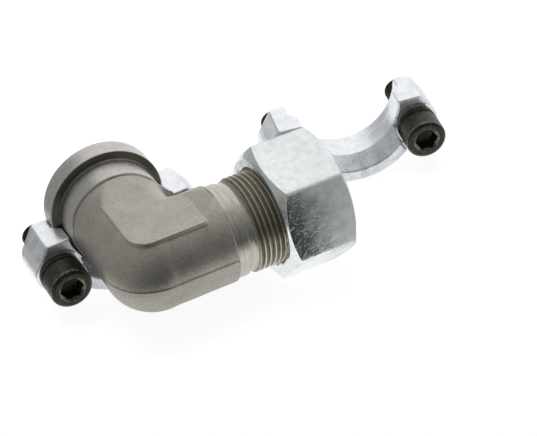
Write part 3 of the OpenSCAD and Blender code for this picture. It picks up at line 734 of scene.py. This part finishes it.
# Spring lock washers: square steel wire wound into one open turn and black-oxided. Each lies
# pressed nearly flat between a screw head and its ear, with its slanted slit to the outside.
WASHER_R, WASHER_IN_R, SLIT, SLIT_SLANT, SLIT_AT = 8.0, 5.15, 1.6, radians(25), radians(-70)
section = soft_rows([
    (-WASHER_T / 2, WASHER_IN_R, 0), (-WASHER_T, WASHER_IN_R, 0.3), (-WASHER_T, WASHER_R, 0.6),
    (0, WASHER_R, 0.6), (0, WASHER_IN_R, 0.3), (-WASHER_T / 2 - 0.01, WASHER_IN_R, 0)], arc=4)
half_slit = SLIT / 2 / cos(SLIT_SLANT) / WASHER_R
sweep = np.linspace(half_slit, 2 * pi - half_slit, 110)[:, None]
slant = tan(SLIT_SLANT) * (section[None, :, 0] + WASHER_T / 2) / WASHER_R
washer_turn = sweep - SLIT_AT + slant
washer = np.stack([section[None, :, 1] * np.cos(washer_turn), section[None, :, 0] + 0 * washer_turn,
                   -section[None, :, 1] * np.sin(washer_turn)], -1)
caps = np.repeat(washer[[0, -1]].mean(1, keepdims=True), washer.shape[1], 1)
washer = np.concatenate([caps[:1], washer, caps[1:]])
r, c = np.arange(len(washer) - 1)[:, None], np.arange(washer.shape[1])[None]
m = (c + 1) % washer.shape[1]
washer_faces = np.stack([r * washer.shape[1] + c, r * washer.shape[1] + m, (r + 1) * washer.shape[1] + m,
                         (r + 1) * washer.shape[1] + c], -1).reshape(-1, 4)
for side, (at, turned_by) in halves.items():
    for hand, sign in (("left", -1), ("right", 1)):
        place = washer + np.array([sign * SCREW_X, 0, -SCREW_DEPTH])
        make_piece(f"{side}_{hand}_spring_washer", from_half(place, at, turned_by), washer_faces,
                   [black_oxide], "fitting", [f"{side}_washer_{hand}"])


# Floor: a plain white table top that runs on as the backdrop.
floor_mesh = bpy.data.meshes.new("table")
FRONT_LEFT, ALONG, BACK = np.array([-0.083, -0.055]), np.array([0.734, -0.522]), np.array([0.31, 0.845])
floor_mesh.from_pydata([(*corner, TABLE * 0.001 - 0.0002) for corner in (
    FRONT_LEFT, FRONT_LEFT + ALONG, FRONT_LEFT + ALONG + BACK, FRONT_LEFT + BACK)], [], [(0, 1, 2, 3)])
table = bpy.data.objects.new("table", floor_mesh)
bpy.context.scene.collection.objects.link(table)
white_table = bpy.data.materials.new("white_table")
white_table.use_nodes = True
tree = white_table.node_tree
tree.nodes.clear()


def seen_ray(tree):
    """One for a ray that shows something to the camera, straight or in a mirror or a glass, else zero."""
    path = add(tree, "LightPath").outputs
    seen = add(tree, "Math", {0: path["Is Camera Ray"], 1: path["Is Glossy Ray"]}, operation="ADD").outputs[0]
    return add(tree, "Math", {0: seen, 1: path["Is Transmission Ray"]}, operation="ADD",
               use_clamp=True).outputs[0]


top = add(tree, "BsdfDiffuse", {"Color": linear("#808080")}).outputs[0]
lift = add(tree, "Math", {0: seen_ray(tree), 1: 0.9}, operation="MULTIPLY").outputs[0]
glow = add(tree, "Emission", {"Color": (1, 1, 1, 1), "Strength": lift}).outputs[0]
add(tree, "OutputMaterial", {0: add(tree, "AddShader", {0: top, 1: glow}).outputs[0]})
floor_mesh.materials.append(white_table)

# Light: one broad soft lamp high behind the camera's right, and an even grey room that the camera sees as
# white. Metal and glass see it bright high at the back right and dark towards the camera's side.
world = bpy.data.worlds.new("white_room")
bpy.context.scene.world = world
world.use_nodes = True
tree = world.node_tree
tree.nodes.clear()
direction = add(tree, "TexCoord").outputs["Generated"]
to_window = add(tree, "VectorMath", {0: direction, 1: (0.7, 0.5, 0.3)}, operation="DOT_PRODUCT").outputs[1]
window = add(tree, "MapRange", {0: to_window, 1: 0.38, 2: 0.62}, interpolation_type="SMOOTHSTEP").outputs[0]
to_front = add(tree, "VectorMath", {0: direction, 1: (-0.1, -0.95, -0.25)}, operation="DOT_PRODUCT").outputs[1]
room_side = add(tree, "ValToRGB", {0: to_front},
                stops=[(0.35, "#a2a2a2"), (0.5, "#727272"), (0.7, "#747474"), (0.86, "#3e3e3e"), (0.95, "#101010")]).outputs[0]
dome = add(tree, "Mix", {0: window, 6: room_side, 7: (0.98, 0.98, 0.98, 1.0)}, data_type="RGBA").outputs[2]
camera_ray = add(tree, "LightPath").outputs["Is Camera Ray"]
mirrored = add(tree, "Mix", {0: camera_ray, 6: dome, 7: (1.0, 1.0, 1.0, 1.0)}, data_type="RGBA").outputs[2]
strength = add(tree, "Mix", {0: seen_ray(tree), 6: linear("#a2a2a2"), 7: mirrored}, data_type="RGBA").outputs[2]
room = add(tree, "Background", {"Color": strength, "Strength": 1.0}).outputs[0]
add(tree, "OutputWorld", {0: room})


def soft_lamp(name, at, target, size, power):
    """A square lamp that faces a target point."""
    lamp = bpy.data.lights.new(name, "AREA")
    lamp.shape, lamp.size, lamp.energy = "SQUARE", size, power
    holder = bpy.data.objects.new(name, lamp)
    back = (np.array(at) - np.array(target)) / np.linalg.norm(np.array(at) - np.array(target))
    right = np.cross((0, 0, 1.0), back)
    right /= np.linalg.norm(right)
    up = np.cross(back, right)
    turn_to = np.eye(4)
    turn_to[:3, :3] = np.stack([right, up, back], 1)
    turn_to[:3, 3] = at
    holder.matrix_world = Matrix(turn_to.tolist())
    holder.visible_glossy = False
    bpy.context.scene.collection.objects.link(holder)


soft_lamp("overhead_lamp", (0.10, 0.25, 1.1), (0.04, -0.03, 0), 0.9, 9.5)

FOCAL_PX, PHOTO_W, SENSOR = 1500.0, 537.0, 36.0
CAMERA_AT = (-0.11496, -0.44278, 0.33193)
CAMERA_RIGHT, CAMERA_DOWN, CAMERA_AHEAD = ((0.87249, -0.4699, -0.13402), (-0.38825, -0.50013, -0.77403),
                                           (0.29669, 0.72737, -0.6188))
lens = bpy.data.cameras.new("camera")
lens.sensor_width, lens.lens = SENSOR, FOCAL_PX / PHOTO_W * SENSOR
lens.clip_start, lens.clip_end = 0.01, 20
camera = bpy.data.objects.new("camera", lens)
pose = np.eye(4)
pose[:3, :3] = np.stack([CAMERA_RIGHT, -np.array(CAMERA_DOWN), -np.array(CAMERA_AHEAD)], 1)
pose[:3, 3] = CAMERA_AT
camera.matrix_world = Matrix(pose.tolist())
bpy.context.scene.collection.objects.link(camera)
bpy.context.scene.camera = camera
bpy.context.scene.view_settings.view_transform = "Standard"
